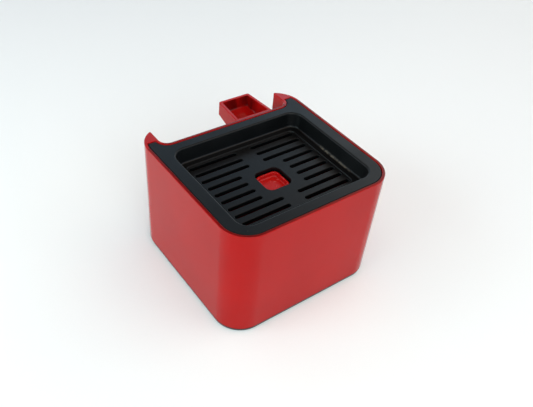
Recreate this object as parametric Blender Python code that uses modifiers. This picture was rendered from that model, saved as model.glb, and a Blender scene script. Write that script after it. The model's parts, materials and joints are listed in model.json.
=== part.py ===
"""Drip tray module of a pod coffee machine: a red shell, a black cup grid and a rear drain trough.

Metres, +Z up, front wall towards -Y. The origin is the middle of the footprint, on the surface it stands on.
"""

import math

import bmesh
import bpy

MM = 0.001
GAP = 0.3 * MM  # clearance between neighbouring pieces

# Shell: a rounded square in plan, narrower at the foot, with a recessed rear wall between two ears
WIDTH = 120 * MM
DEPTH = 118 * MM  # front wall to the far end of the ears' round corners
TOTAL_DEPTH = 127.1 * MM  # front wall to the end of the trough
FRONT_Y = -TOTAL_DEPTH / 2
EARS_Y = FRONT_Y + DEPTH
REAR_WALL_Y = FRONT_Y + 99.2 * MM  # outer face of the recessed rear wall, at the rim
CORNER_RADIUS = 18.5 * MM
EAR_INNER_X = 49.3 * MM
EAR_TIP_RADIUS = 0.8 * MM
EAR_CORE_INSET = 3.2 * MM  # the ears' hollow cores start this far inside the shell's plan
NOTCH_FILLET = 6 * MM
WALL = 1.9 * MM
SHELL_FOOT_Z = 1.8 * MM
RIM_Z = 82.4 * MM
FOOT_SCALE = 0.989  # plan size at the foot over plan size at the rim
SCALE_CENTRE_Y = FRONT_Y + DEPTH / 2
RIM_ROUND = 0.6 * MM
FOOT_ROUND = 0.8 * MM
SKIRT_TOP_Z = 6.3 * MM  # underside of the shell's floor
FLOOR_TOP_Z = 8.8 * MM
FLOOR_FILLET = 1.5 * MM
LEDGE_Z = 79.1 * MM  # the grid's margin rests here
LEDGE_WIDTH = 2.6 * MM
LEDGE_DEPTH = 1.8 * MM
CAVITY_REAR_RADIUS = 6 * MM
EAR_POCKET_Y = REAR_WALL_Y + 6 * MM  # the grid reaches this far into the ears

# Cup grid
GRID_TOP_Z = RIM_Z - 0.2 * MM
GRID_GAP = 0.5 * MM  # the open line round the grid
MARGIN_THICKNESS = 2.7 * MM
MARGIN_CHAMFER = 0.4 * MM
BASIN_HALF_X = 49.6 * MM
BASIN_FRONT_Y = FRONT_Y + 9.3 * MM
BASIN_BACK_Y = FRONT_Y + 90.3 * MM
BASIN_RADIUS = 9 * MM
BASIN_DRAFT = 2 * MM
BASIN_LIP = 1.2 * MM
BASIN_FOOT_FILLET = 1.4 * MM
BASIN_SKIN = 2 * MM
TUB_CHAMFER = 1 * MM
LEDGE_LINE_Z = RIM_Z - 10.6 * MM  # the rest ledge round the slotted panel
PANEL_Z = RIM_Z - 11.3 * MM
PANEL_HALF_X = 42.7 * MM
PANEL_MARGIN_Y = 2.9 * MM
PANEL_RADIUS = 3.5 * MM
GRID_FLOOR = 2.5 * MM
SLOT_ROWS = 9
SLOT_PITCH = 7.35 * MM
SLOT_WIDTH = 2.8 * MM
SLOT_OUTER_X = 41.2 * MM
SLOT_INNER_X = 5.6 * MM
SLOT_SHORT_INNER_X = 16.4 * MM
SHORT_ROWS = (3, 4, 5, 6)
FIRST_ROW_Y = FRONT_Y + 80.9 * MM
HOLE_HALF = 9.5 * MM
HOLE_RADIUS = 4.4 * MM
HOLE_Y = FIRST_ROW_Y - 4.5 * SLOT_PITCH

# Level float and its cage, under the hole
FLOAT_HALF = 8.7 * MM
FLOAT_RADIUS = 3.8 * MM
FLOAT_CHAMFER = 0.5 * MM
FLOAT_TOP_Z = PANEL_Z - 2.5 * MM
FLOAT_HEIGHT = 8.4 * MM
FLOAT_FLANGE = 1.1 * MM
FLOAT_FLANGE_HEIGHT = 1.5 * MM
FLOAT_RECESS = 3 * MM
FLOAT_RIM = 1.4 * MM
DISH_RADIUS = 2.9 * MM
DISH_CHAMFER = 1 * MM
CAGE_HALF = 10.2 * MM
CAGE_WALL = 1.6 * MM
CAGE_LIP = 2.6 * MM
CAGE_LIP_HEIGHT = 1.5 * MM
CAGE_WINDOW = 8 * MM
CAGE_SILL = 1 * MM  # solid band over the lip, below each window
CAGE_HEAD = 3 * MM  # solid band over each window

# Rear trough: an open channel, wider and deeper towards the shell
TROUGH_X = 22.6 * MM
TROUGH_TOP_Z = RIM_Z - 2 * MM
TROUGH_END_Y = TOTAL_DEPTH / 2
TROUGH_WALL = 2.1 * MM
TROUGH_FRONT_WALL = 1.8 * MM
TROUGH_HALF_AT_END = 12.8 * MM
TROUGH_HALF_AT_SHELL = 14.9 * MM
TROUGH_UNDER_Z_AT_END = 70.2 * MM
TROUGH_UNDER_Z_AT_SHELL = 65.4 * MM
TROUGH_ROUND = 1.6 * MM
NECK_HALF_X = 10 * MM
NECK_TOP_Z = 75 * MM
NECK_UNDER_Z = 66.2 * MM
NECK_WALL = 1.6 * MM
NECK_INNER_Y = REAR_WALL_Y - 4.2 * MM
SEAL_THICKNESS = 1 * MM
SEAL_WIDTH = 1.2 * MM

# Base plate, feet and screws
PLATE_UNDER_Z = 0.5 * MM
PLATE_TOP_Z = SKIRT_TOP_Z - GAP
PLATE_FLANGE_Z = SHELL_FOOT_Z - GAP
PLATE_INSET = 0.5 * MM
FOOT_RADIUS = 7 * MM
FOOT_HEIGHT = 3 * MM
FOOT_X = 40 * MM
FOOT_EDGE_Y = 21 * MM  # foot centre from the front wall and from the rear wall
SCREW_X = 24 * MM
SCREW_EDGE_Y = 12 * MM  # screw centre from the front wall and from the rear wall
SCREW_HEAD_RADIUS = 3 * MM
SCREW_HEAD_HEIGHT = 1.8 * MM
SCREW_SHANK_RADIUS = 1.4 * MM
SCREW_LENGTH = 12 * MM
SCREW_RECESS_Z = 1.2 * MM  # how far the head is sunk above the base plate's underside
POST_RADIUS = 4 * MM
POST_TOP_Z = 18 * MM
POST_ROOT = 1 * MM  # how deep each post is sunk into the floor that carries it
PILOT_CAP = 2 * MM  # solid top over each pilot hole

OVERCUT = 5 * MM  # how far cutters reach past the faces they cut
CORNER_STEPS = 10
SMALL_CORNER_STEPS = 5
TIP_STEPS = 3
LEAST_TIP_RADIUS = 0.2 * MM  # the tip's round where an inset leaves less


def clear_scene():
    for old in list(bpy.data.objects):
        bpy.data.objects.remove(old, do_unlink=True)


def new_collection(name):
    collection = bpy.data.collections.new(name)
    bpy.context.scene.collection.children.link(collection)
    return collection


def new_material(name, colour, roughness, metallic=0.0):
    material = bpy.data.materials.new(name)
    material.use_nodes = True
    shader = material.node_tree.nodes["Principled BSDF"]
    shader.inputs["Base Color"].default_value = (*colour, 1.0)
    shader.inputs["Roughness"].default_value = roughness
    shader.inputs["Metallic"].default_value = metallic
    material.diffuse_color = (*colour, 1.0)
    return material


def new_object(name, mesh_builder, collection, material=None):
    """Makes an object from a bmesh; an object with no material is a cutter."""
    mesh = bpy.data.meshes.new(name)
    bmesh.ops.recalc_face_normals(mesh_builder, faces=mesh_builder.faces)
    mesh_builder.to_mesh(mesh)
    mesh_builder.free()
    made = bpy.data.objects.new(name, mesh)
    collection.objects.link(made)
    if material:
        mesh.materials.append(material)
    else:
        made.hide_render = True
        made.display_type = "WIRE"
    return made


def combine(target, other, operation):
    modifier = target.modifiers.new(f"{operation.lower()} {other.name}", "BOOLEAN")
    modifier.operation = operation
    modifier.object = other


def smooth(target, angle_degrees=35):
    target.data.shade_smooth()
    target.data.set_sharp_from_angle(angle=math.radians(angle_degrees))


def arc(centre_x, centre_y, radius, start, end, steps):
    """Points of an arc; the angles are in degrees, and the two end points are included."""
    angles = [math.radians(start + (end - start) * i / steps) for i in range(steps + 1)]
    return [(centre_x + radius * math.cos(a), centre_y + radius * math.sin(a)) for a in angles]


def rounded_rectangle(left, right, front, back, radius, steps=SMALL_CORNER_STEPS):
    points = arc(left + radius, front + radius, radius, 180, 270, steps)
    points += arc(right - radius, front + radius, radius, 270, 360, steps)
    points += arc(right - radius, back - radius, radius, 0, 90, steps)
    points += arc(left + radius, back - radius, radius, 90, 180, steps)
    return points


def mirrored(half):
    """Closes a right half outline, which runs from the front to the back, with its left half."""
    return half + [(-x, y) for x, y in reversed(half)]


def ear_tip(inset):
    """The small round at the right ear's tip, and the angle where the ear's big round meets it."""
    centre_x = WIDTH / 2 - CORNER_RADIUS
    centre_y = EARS_Y - CORNER_RADIUS
    radius = max(EAR_TIP_RADIUS - inset, LEAST_TIP_RADIUS)
    tip_x = EAR_INNER_X + inset + radius
    reach = CORNER_RADIUS - inset - radius
    tip_y = centre_y + math.sqrt(reach**2 - (tip_x - centre_x) ** 2)
    meeting = math.degrees(math.atan2(tip_y - centre_y, tip_x - centre_x))
    return arc(tip_x, tip_y, radius, meeting, 180, TIP_STEPS), meeting


def shell_outline(inset):
    """The plan of the shell: front corners, round ears cut off by the notch, and the rear wall."""
    radius = CORNER_RADIUS - inset
    centre_x = WIDTH / 2 - CORNER_RADIUS
    rear_y = REAR_WALL_Y - inset
    fillet = NOTCH_FILLET + inset
    tip, tip_angle = ear_tip(inset)
    half = arc(centre_x, FRONT_Y + CORNER_RADIUS, radius, 270, 360, CORNER_STEPS)
    half += arc(centre_x, EARS_Y - CORNER_RADIUS, radius, 0, tip_angle, CORNER_STEPS)
    half += tip
    half += arc(EAR_INNER_X + inset - fillet, rear_y + fillet, fillet, 0, -90, SMALL_CORNER_STEPS)
    return mirrored(half)


def grid_outline(inset):
    """The opening for the cup grid: the shell's plan, with the ears cut off square at the pocket's end."""
    radius = CORNER_RADIUS - inset
    centre_x = WIDTH / 2 - CORNER_RADIUS
    centre_y = EARS_Y - CORNER_RADIUS
    pocket_y = EAR_POCKET_Y + WALL - inset
    pocket_angle = math.degrees(math.asin((pocket_y - centre_y) / radius))
    fillet = NOTCH_FILLET + inset
    rear_y = REAR_WALL_Y - inset
    ear_inner_x = EAR_INNER_X + inset
    notch_angle = math.degrees(math.asin((pocket_y - rear_y - fillet) / fillet))
    half = arc(centre_x, FRONT_Y + CORNER_RADIUS, radius, 270, 360, CORNER_STEPS)
    half += arc(centre_x, centre_y, radius, 0, pocket_angle, SMALL_CORNER_STEPS)
    half += arc(ear_inner_x - fillet, rear_y + fillet, fillet, notch_angle, -90, SMALL_CORNER_STEPS)
    return mirrored(half)


def cavity_outline(inset):
    """The plan inside the shell, below the grid: no ears, so that their cores stay closed off."""
    centre_x = WIDTH / 2 - CORNER_RADIUS
    half_x = WIDTH / 2 - inset
    rear_y = REAR_WALL_Y - inset
    radius = CAVITY_REAR_RADIUS
    half = arc(centre_x, FRONT_Y + CORNER_RADIUS, CORNER_RADIUS - inset, 270, 360, CORNER_STEPS)
    half += arc(half_x - radius, rear_y - radius, radius, 0, 90, SMALL_CORNER_STEPS)
    return mirrored(half)


def ear_core_outline(inset):
    """The hollow inside the right ear, behind the plane of the rear wall."""
    radius = CORNER_RADIUS - inset
    centre_x = WIDTH / 2 - CORNER_RADIUS
    centre_y = EARS_Y - CORNER_RADIUS
    inner_x = EAR_INNER_X + inset
    tip_angle = math.degrees(math.acos((inner_x - centre_x) / radius))
    front_y = REAR_WALL_Y + inset
    start_angle = math.degrees(math.asin((front_y - centre_y) / radius))
    return arc(centre_x, centre_y, radius, start_angle, tip_angle, SMALL_CORNER_STEPS) + [(inner_x, front_y)]


def basin_outline(inset, radius=BASIN_RADIUS, steps=8):
    half_x = BASIN_HALF_X - inset
    front = BASIN_FRONT_Y + inset
    back = BASIN_BACK_Y - inset
    return rounded_rectangle(-half_x, half_x, front, back, radius - inset, steps)


def square_outline(half, radius, steps=SMALL_CORNER_STEPS):
    return rounded_rectangle(-half, half, HOLE_Y - half, HOLE_Y + half, radius, steps)


def drafted(outline, z):
    """Scales an outline of the shell to its size at height z: the walls lean in towards the foot."""
    share = (RIM_Z - z) / (RIM_Z - SHELL_FOOT_Z)
    scale = 1 - (1 - FOOT_SCALE) * share
    return [(x * scale, SCALE_CENTRE_Y + (y - SCALE_CENTRE_Y) * scale) for x, y in outline]


def loft(rings):
    """A closed solid through rings of (z, outline), bottom first; every outline has as many points."""
    builder = bmesh.new()
    loops = [[builder.verts.new((x, y, z)) for x, y in outline] for z, outline in rings]
    for lower, upper in zip(loops, loops[1:]):
        for i in range(len(lower)):
            j = (i + 1) % len(lower)
            builder.faces.new((lower[i], lower[j], upper[j], upper[i]))
    builder.faces.new(list(reversed(loops[0])))
    builder.faces.new(loops[-1])
    return builder


def prism(outline, low_z, high_z):
    return loft([(low_z, outline), (high_z, outline)])


def box(left, right, front, back, low_z, high_z):
    builder = bmesh.new()
    bmesh.ops.create_cube(builder, size=1)
    for vert in builder.verts:
        vert.co.x = left if vert.co.x < 0 else right
        vert.co.y = front if vert.co.y < 0 else back
        vert.co.z = low_z if vert.co.z < 0 else high_z
    return builder


def cylinder(radius, centre_x, centre_y, low_z, high_z, segments=24):
    return prism(arc(centre_x, centre_y, radius, 0, 360 - 360 / segments, segments - 1), low_z, high_z)


def shell_walls():
    """The outside of the shell, with a small round at the rim and at the foot."""
    rings = []
    for step in range(3):
        angle = math.radians(45 * step)
        inset = FOOT_ROUND * (1 - math.sin(angle))
        z = SHELL_FOOT_Z + FOOT_ROUND * (1 - math.cos(angle))
        rings.append((z, drafted(shell_outline(inset), z)))
    for step in range(3):
        angle = math.radians(45 * step)
        inset = RIM_ROUND * (1 - math.cos(angle))
        z = RIM_Z - RIM_ROUND * (1 - math.sin(angle))
        rings.append((z, drafted(shell_outline(inset), z)))
    return loft(rings)


def shell_cavity():
    """The hollow below the grid; it narrows under the rim, which leaves the ledge that the grid rests on."""
    ledge = WALL + LEDGE_WIDTH
    heights = (
        (FLOOR_TOP_Z, WALL + FLOOR_FILLET),
        (FLOOR_TOP_Z + FLOOR_FILLET, WALL),
        (LEDGE_Z - LEDGE_DEPTH - LEDGE_WIDTH, WALL),
        (LEDGE_Z - LEDGE_DEPTH, ledge),
        (LEDGE_Z + OVERCUT, ledge),
    )
    return loft([(z, drafted(cavity_outline(inset), z)) for z, inset in heights])


def post_places():
    front = FRONT_Y + SCREW_EDGE_Y
    back = REAR_WALL_Y - SCREW_EDGE_Y
    return [(x, y) for y in (front, back) for x in (-SCREW_X, SCREW_X)]


def foot_places():
    front = FRONT_Y + FOOT_EDGE_Y
    back = REAR_WALL_Y - FOOT_EDGE_Y
    return [(x, y) for y in (front, back) for x in (-FOOT_X, FOOT_X)]


def make_shell(parts, cutters, material):
    shell = new_object("shell", shell_walls(), parts, material)
    pocket = prism(grid_outline(WALL), LEDGE_Z, RIM_Z + OVERCUT)
    combine(shell, new_object("grid pocket", pocket, cutters), "DIFFERENCE")
    combine(shell, new_object("cavity", shell_cavity(), cutters), "DIFFERENCE")
    skirt = loft([(z, drafted(shell_outline(WALL + GAP), z)) for z in (-OVERCUT, SKIRT_TOP_Z)])
    combine(shell, new_object("skirt hollow", skirt, cutters), "DIFFERENCE")
    for side in (-1, 1):
        core = [(side * x, y) for x, y in ear_core_outline(EAR_CORE_INSET)]
        rings = [(z, drafted(core, z)) for z in (SKIRT_TOP_Z - OVERCUT, LEDGE_Z - LEDGE_DEPTH)]
        combine(shell, new_object("ear core", loft(rings), cutters), "DIFFERENCE")
    window = box(
        TROUGH_X - NECK_HALF_X - GAP,
        TROUGH_X + NECK_HALF_X + GAP,
        REAR_WALL_Y - WALL - OVERCUT,
        REAR_WALL_Y + OVERCUT,
        NECK_UNDER_Z - GAP,
        NECK_TOP_Z + GAP,
    )
    combine(shell, new_object("rear window", window, cutters), "DIFFERENCE")
    for x, y in post_places():
        post = cylinder(POST_RADIUS, x, y, FLOOR_TOP_Z - POST_ROOT, POST_TOP_Z)
        combine(shell, new_object("post", post, cutters), "UNION")
    for x, y in post_places():
        pilot = cylinder(SCREW_SHANK_RADIUS + GAP, x, y, -OVERCUT, POST_TOP_Z - PILOT_CAP)
        combine(shell, new_object("pilot hole", pilot, cutters), "DIFFERENCE")
    smooth(shell)


def grid_tub():
    """The outside of the basin, under the margin."""
    rings = [
        (PANEL_Z - GRID_FLOOR, basin_outline(BASIN_DRAFT - BASIN_SKIN + TUB_CHAMFER)),
        (PANEL_Z - GRID_FLOOR + TUB_CHAMFER, basin_outline(BASIN_DRAFT - BASIN_SKIN)),
        (GRID_TOP_Z - MARGIN_THICKNESS / 2, basin_outline(-BASIN_SKIN)),
    ]
    return loft(rings)


def basin_hollow():
    """The basin: a fillet at the foot of its leaning walls and a rounded lip at the top."""
    rings = []
    for step in range(4):
        angle = math.radians(30 * step)
        inset = BASIN_DRAFT + BASIN_FOOT_FILLET * (1 - math.sin(angle))
        rings.append((LEDGE_LINE_Z + BASIN_FOOT_FILLET * (1 - math.cos(angle)), basin_outline(inset)))
    for step in range(4):
        angle = math.radians(30 * step)
        inset = BASIN_LIP / 2 - BASIN_LIP * (1 - math.cos(angle))
        rings.append((GRID_TOP_Z - BASIN_LIP * (1 - math.sin(angle)), basin_outline(inset)))
    rings.append((GRID_TOP_Z + OVERCUT, rings[-1][1]))
    return loft(rings)


def slot_outline(left, right, y):
    """A slot with round ends, along X."""
    radius = SLOT_WIDTH / 2
    points = arc(right - radius, y, radius, -90, 90, 6)
    return points + arc(left + radius, y, radius, 90, 270, 6)


def make_cup_grid(parts, cutters, material):
    outline = grid_outline(WALL + GRID_GAP)
    rings = [
        (GRID_TOP_Z - MARGIN_THICKNESS, outline),
        (GRID_TOP_Z - MARGIN_CHAMFER, outline),
        (GRID_TOP_Z, grid_outline(WALL + GRID_GAP + MARGIN_CHAMFER)),
    ]
    grid = new_object("cup_grid", loft(rings), parts, material)
    combine(grid, new_object("tub", grid_tub(), cutters), "UNION")
    combine(grid, new_object("basin", basin_hollow(), cutters), "DIFFERENCE")
    last_row_y = FIRST_ROW_Y - (SLOT_ROWS - 1) * SLOT_PITCH
    panel = rounded_rectangle(
        -PANEL_HALF_X,
        PANEL_HALF_X,
        last_row_y - PANEL_MARGIN_Y,
        FIRST_ROW_Y + PANEL_MARGIN_Y,
        PANEL_RADIUS,
    )
    combine(grid, new_object("panel", prism(panel, PANEL_Z, GRID_TOP_Z), cutters), "DIFFERENCE")
    for row in range(SLOT_ROWS):
        y = FIRST_ROW_Y - row * SLOT_PITCH
        inner = SLOT_SHORT_INNER_X if row in SHORT_ROWS else SLOT_INNER_X
        for left, right in ((-SLOT_OUTER_X, -inner), (inner, SLOT_OUTER_X)):
            slot = prism(slot_outline(left, right, y), PANEL_Z - GRID_FLOOR - OVERCUT, GRID_TOP_Z)
            combine(grid, new_object(f"slot {row + 1}", slot, cutters), "DIFFERENCE")
    hole = prism(square_outline(HOLE_HALF, HOLE_RADIUS), PANEL_Z - GRID_FLOOR - OVERCUT, GRID_TOP_Z)
    combine(grid, new_object("hole", hole, cutters), "DIFFERENCE")
    smooth(grid)
    return grid


def float_under_z():
    return FLOAT_TOP_Z - FLOAT_HEIGHT


def make_float_cage(parts, cutters, material, grid):
    """A square sleeve with an inward lip at its foot, and a window in each side that lets water in."""
    low_z = float_under_z() - GAP - CAGE_LIP_HEIGHT
    high_z = PANEL_Z - GRID_FLOOR - GAP
    outer = square_outline(CAGE_HALF + CAGE_WALL, HOLE_RADIUS + CAGE_WALL)
    cage = new_object("float_cage", prism(outer, low_z, high_z), parts, material)
    sleeve = prism(square_outline(CAGE_HALF, HOLE_RADIUS), low_z + CAGE_LIP_HEIGHT, high_z + OVERCUT)
    combine(cage, new_object("cage sleeve", sleeve, cutters), "DIFFERENCE")
    throat = prism(square_outline(CAGE_HALF - CAGE_LIP, HOLE_RADIUS / 2), low_z - OVERCUT, high_z)
    combine(cage, new_object("cage throat", throat, cutters), "DIFFERENCE")
    reach = CAGE_HALF + CAGE_WALL + OVERCUT
    half = CAGE_WINDOW / 2
    window_low_z = low_z + CAGE_LIP_HEIGHT + CAGE_SILL
    window_high_z = high_z - CAGE_HEAD
    for half_x, half_y in ((reach, half), (half, reach)):
        window = box(-half_x, half_x, HOLE_Y - half_y, HOLE_Y + half_y, window_low_z, window_high_z)
        combine(cage, new_object("cage window", window, cutters), "DIFFERENCE")
    cage.parent = grid
    smooth(cage)


def make_level_float(parts, cutters, material, grid):
    """A square cap with a shallow dish on top and a flange at its foot, which stops under the grid."""
    low_z = float_under_z()
    outline = square_outline(FLOAT_HALF, FLOAT_RADIUS)
    flange = square_outline(FLOAT_HALF + FLOAT_FLANGE, HOLE_RADIUS)
    rings = [
        (low_z, flange),
        (low_z + FLOAT_FLANGE_HEIGHT, flange),
        (low_z + FLOAT_FLANGE_HEIGHT, outline),
        (FLOAT_TOP_Z - FLOAT_CHAMFER, outline),
        (FLOAT_TOP_Z, square_outline(FLOAT_HALF - FLOAT_CHAMFER, FLOAT_RADIUS - FLOAT_CHAMFER)),
    ]
    level_float = new_object("level_float", loft(rings), parts, material)
    dish_half = FLOAT_HALF - FLOAT_RIM
    dish_floor = square_outline(dish_half - DISH_CHAMFER, DISH_RADIUS - DISH_CHAMFER)
    dish = loft([
        (FLOAT_TOP_Z - FLOAT_RECESS, dish_floor),
        (FLOAT_TOP_Z - FLOAT_RECESS + DISH_CHAMFER, square_outline(dish_half, DISH_RADIUS)),
        (FLOAT_TOP_Z + OVERCUT, square_outline(dish_half, DISH_RADIUS)),
    ])
    combine(level_float, new_object("float dish", dish, cutters), "DIFFERENCE")
    level_float.parent = grid
    smooth(level_float)


def trough_plan(inset, front_y, back_y):
    """The trough's plan: it tapers towards its end, where its corners are round."""
    slope = (TROUGH_HALF_AT_SHELL - TROUGH_HALF_AT_END) / (TROUGH_END_Y - REAR_WALL_Y)
    front_half = TROUGH_HALF_AT_SHELL - inset - slope * (front_y - REAR_WALL_Y)
    back_half = TROUGH_HALF_AT_END - inset
    radius = TROUGH_ROUND
    right = arc(TROUGH_X + back_half - radius, back_y - radius, radius, 0, 90, 4)
    left = arc(TROUGH_X - back_half + radius, back_y - radius, radius, 90, 180, 4)
    return [(TROUGH_X - front_half, front_y), (TROUGH_X + front_half, front_y)] + right + left


def trough_under_z(y):
    share = (y - REAR_WALL_Y) / (TROUGH_END_Y - REAR_WALL_Y)
    return TROUGH_UNDER_Z_AT_SHELL + share * (TROUGH_UNDER_Z_AT_END - TROUGH_UNDER_Z_AT_SHELL)


def sloped_block(outline, lift, high_z):
    """A solid over an outline, with a flat top and an underside that slopes with the trough."""
    builder = prism(outline, 0, high_z)
    for vert in builder.verts:
        if vert.co.z < high_z / 2:
            vert.co.z = trough_under_z(vert.co.y) + lift
    return builder


def make_rear_trough(parts, cutters, material):
    front_y = REAR_WALL_Y + 2 * GAP + SEAL_THICKNESS
    outside = sloped_block(trough_plan(0, front_y, TROUGH_END_Y), 0, TROUGH_TOP_Z)
    trough = new_object("rear_trough", outside, parts, material)
    neck = box(
        TROUGH_X - NECK_HALF_X,
        TROUGH_X + NECK_HALF_X,
        NECK_INNER_Y,
        front_y + TROUGH_FRONT_WALL / 2,
        NECK_UNDER_Z,
        NECK_TOP_Z,
    )
    combine(trough, new_object("neck", neck, cutters), "UNION")
    plan = trough_plan(TROUGH_WALL, front_y + TROUGH_FRONT_WALL, TROUGH_END_Y - TROUGH_WALL)
    channel = sloped_block(plan, TROUGH_WALL, TROUGH_TOP_Z + OVERCUT)
    combine(trough, new_object("channel", channel, cutters), "DIFFERENCE")
    throat = box(
        TROUGH_X - NECK_HALF_X + NECK_WALL,
        TROUGH_X + NECK_HALF_X - NECK_WALL,
        NECK_INNER_Y - OVERCUT,
        front_y + TROUGH_FRONT_WALL + GAP,
        NECK_UNDER_Z + NECK_WALL,
        NECK_TOP_Z - NECK_WALL,
    )
    combine(trough, new_object("neck throat", throat, cutters), "DIFFERENCE")
    smooth(trough)


def make_trough_seal(parts, cutters, material):
    front_y = REAR_WALL_Y + GAP
    outer = box(
        TROUGH_X - NECK_HALF_X - GAP - SEAL_WIDTH,
        TROUGH_X + NECK_HALF_X + GAP + SEAL_WIDTH,
        front_y,
        front_y + SEAL_THICKNESS,
        NECK_UNDER_Z - GAP - SEAL_WIDTH / 2,
        NECK_TOP_Z + GAP + SEAL_WIDTH,
    )
    seal = new_object("trough_seal", outer, parts, material)
    hole = box(
        TROUGH_X - NECK_HALF_X - GAP,
        TROUGH_X + NECK_HALF_X + GAP,
        front_y - OVERCUT,
        front_y + OVERCUT,
        NECK_UNDER_Z - GAP,
        NECK_TOP_Z + GAP,
    )
    combine(seal, new_object("seal hole", hole, cutters), "DIFFERENCE")


def make_base_plate(parts, cutters, material):
    flange = loft([
        (z, drafted(shell_outline(PLATE_INSET), SHELL_FOOT_Z)) for z in (PLATE_UNDER_Z, PLATE_FLANGE_Z)
    ])
    plate = new_object("base_plate", flange, parts, material)
    plug_outline = drafted(shell_outline(WALL + 2 * GAP), SHELL_FOOT_Z)
    plug = new_object("plate plug", prism(plug_outline, PLATE_UNDER_Z + GAP, PLATE_TOP_Z), cutters)
    combine(plate, plug, "UNION")
    for x, y in foot_places():
        recess = cylinder(FOOT_RADIUS + GAP, x, y, -OVERCUT, FOOT_HEIGHT + GAP, 32)
        combine(plate, new_object("foot recess", recess, cutters), "DIFFERENCE")
    for x, y in post_places():
        head_top_z = PLATE_UNDER_Z + SCREW_RECESS_Z + SCREW_HEAD_HEIGHT
        head = cylinder(SCREW_HEAD_RADIUS + GAP, x, y, -OVERCUT, head_top_z + GAP)
        combine(plate, new_object("screw head recess", head, cutters), "DIFFERENCE")
        shank = cylinder(SCREW_SHANK_RADIUS + GAP, x, y, 0, PLATE_TOP_Z + OVERCUT)
        combine(plate, new_object("screw hole", shank, cutters), "DIFFERENCE")
    smooth(plate)


def turned(name, profile, collection, material, steps):
    """A solid turned about Z; the profile runs down the outer side from the axis to the axis."""
    builder = bmesh.new()
    verts = [builder.verts.new((radius, 0, z)) for radius, z in profile]
    for first, second in zip(verts, verts[1:]):
        builder.edges.new((first, second))
    mesh = bpy.data.meshes.new(name)
    builder.to_mesh(mesh)
    builder.free()
    mesh.materials.append(material)
    made = bpy.data.objects.new(name, mesh)
    collection.objects.link(made)
    screw = made.modifiers.new("turn", "SCREW")
    screw.steps = steps
    screw.render_steps = steps
    screw.use_merge_vertices = True
    screw.merge_threshold = 0.00001
    smooth(made)
    return made


def make_feet(parts, material):
    edge = 0.6 * MM
    profile = [
        (0, FOOT_HEIGHT),
        (FOOT_RADIUS, FOOT_HEIGHT),
        (FOOT_RADIUS, edge),
        (FOOT_RADIUS - edge, 0),
        (0, 0),
    ]
    for number, (x, y) in enumerate(foot_places(), start=1):
        foot = turned(f"foot_{number}", profile, parts, material, 32)
        foot.location = (x, y, 0)


def make_screws(parts, cutters, material):
    """Pan head screws with a cross recess, heads down in the base plate."""
    round_off = 0.6 * MM
    profile = [
        (0, SCREW_LENGTH),
        (SCREW_SHANK_RADIUS / 2, SCREW_LENGTH),
        (SCREW_SHANK_RADIUS, SCREW_LENGTH - SCREW_SHANK_RADIUS / 2),
        (SCREW_SHANK_RADIUS, SCREW_HEAD_HEIGHT),
        (SCREW_HEAD_RADIUS, SCREW_HEAD_HEIGHT),
        (SCREW_HEAD_RADIUS, round_off),
        (SCREW_HEAD_RADIUS - round_off, 0),
        (0, 0),
    ]
    long_side = 1.6 * MM
    short_side = 0.4 * MM
    depth = 1 * MM
    for number, (x, y) in enumerate(post_places(), start=1):
        screw = turned(f"screw_{number}", profile, parts, material, 20)
        screw.location = (x, y, PLATE_UNDER_Z + SCREW_RECESS_Z)
        for half_x, half_y in ((long_side, short_side), (short_side, long_side)):
            recess = box(-half_x, half_x, -half_y, half_y, -OVERCUT, depth)
            cutter = new_object("cross recess", recess, cutters)
            cutter.location = screw.location
            combine(screw, cutter, "DIFFERENCE")


def main():
    clear_scene()
    parts = new_collection("drip tray module")
    cutters = new_collection("cutters")
    red = new_material("gloss red plastic", (0.45, 0.018, 0.018), 0.12)
    float_red = new_material("bright red plastic", (0.62, 0.01, 0.008), 0.3)
    black = new_material("satin black plastic", (0.012, 0.014, 0.016), 0.42)
    grey = new_material("dark grey plastic", (0.05, 0.045, 0.045), 0.55)
    rubber = new_material("black rubber", (0.015, 0.015, 0.015), 0.85)
    steel = new_material("plated steel", (0.6, 0.6, 0.6), 0.3, 1.0)
    make_shell(parts, cutters, red)
    grid = make_cup_grid(parts, cutters, black)
    make_float_cage(parts, cutters, black, grid)
    make_level_float(parts, cutters, float_red, grid)
    make_rear_trough(parts, cutters, red)
    make_trough_seal(parts, cutters, rubber)
    make_base_plate(parts, cutters, grey)
    make_feet(parts, rubber)
    make_screws(parts, cutters, steel)


main()
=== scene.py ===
"""Looks of a coffee machine's drip tray: red shell, black cup grid, level float and rear drain trough."""

import json
import math

import bmesh
import bpy
from mathutils import Matrix, Vector

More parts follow.
